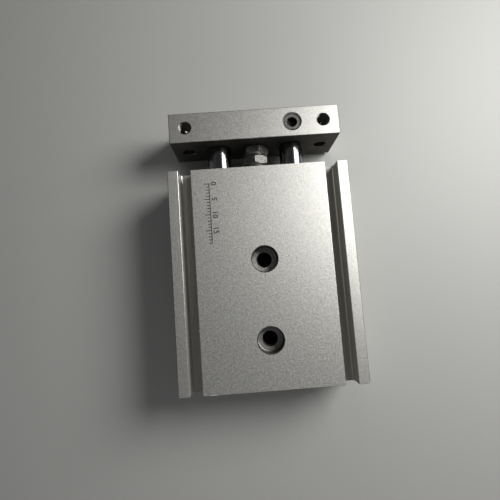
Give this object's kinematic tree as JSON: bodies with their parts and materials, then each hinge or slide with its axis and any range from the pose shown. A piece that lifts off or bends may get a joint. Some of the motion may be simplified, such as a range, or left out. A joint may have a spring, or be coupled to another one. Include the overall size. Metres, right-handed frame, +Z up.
{
  "type": "guided pneumatic cylinder",
  "caption": "Guided pneumatic cylinder: a flat extruded body whose parallel chromed rods carry a tapped tool plate, with a bumper bolt between them and sensor grooves along its edges.",
  "frame": {"origin": "foot of the body's front face, on the base plane, midway between the rods", "axes": "+X across the body, +Y along the rods towards the tool plate, +Z up from the base"},
  "size_m": [0.058, 0.0895, 0.02],
  "materials": {
    "body_aluminium": "bead blasted, clear anodised",
    "plate_aluminium": "fine milled, clear anodised",
    "gland_aluminium": "turned",
    "bush_bronze": "sintered bronze",
    "rod_chrome": "hard chromed and ground",
    "seal_rubber": "moulded nitrile",
    "urethane": "cast urethane",
    "ring_steel": "phosphated spring steel",
    "piston_aluminium": "turned",
    "magnet": "bonded ferrite",
    "screw_steel": "black oxide",
    "nut_steel": "nickel plated"
  },
  "bodies": {
    "housing": {"cylinder_body": "body_aluminium", "port_plug_front": "screw_steel", "port_plug_rear": "screw_steel", "gland_left": "gland_aluminium", "rod_bush_left": "bush_bronze", "rod_seal_left": "seal_rubber", "gland_oring_left": "seal_rubber", "front_retaining_ring_left": "ring_steel", "end_plug_left": "gland_aluminium", "end_plug_oring_left": "seal_rubber", "rear_retaining_ring_left": "ring_steel", "gland_right": "gland_aluminium", "rod_bush_right": "bush_bronze", "rod_seal_right": "seal_rubber", "gland_oring_right": "seal_rubber", "front_retaining_ring_right": "ring_steel", "end_plug_right": "gland_aluminium", "end_plug_oring_right": "seal_rubber", "rear_retaining_ring_right": "ring_steel"},
    "slide_unit": {"tool_plate": "plate_aluminium", "piston_rod_left": "rod_chrome", "piston_rod_right": "rod_chrome", "rod_cap_screw": "screw_steel", "rod_set_screw": "screw_steel", "bumper_nut": "nut_steel", "bumper_bolt": "nut_steel", "bumper_pad": "urethane", "piston_left": "piston_aluminium", "piston_seal_left": "seal_rubber", "piston_magnet_left": "magnet", "piston_bumper_left": "urethane", "piston_nut_left": "nut_steel", "piston_right": "piston_aluminium", "piston_seal_right": "seal_rubber", "piston_magnet_right": "magnet", "piston_bumper_right": "urethane", "piston_nut_right": "nut_steel"}
  },
  "joints": [
    {"name": "rod_slide", "type": "slide", "parent": "housing", "child": "slide_unit", "axis": [0, 1, 0], "range_m": [0, 0.01]}
  ]
}
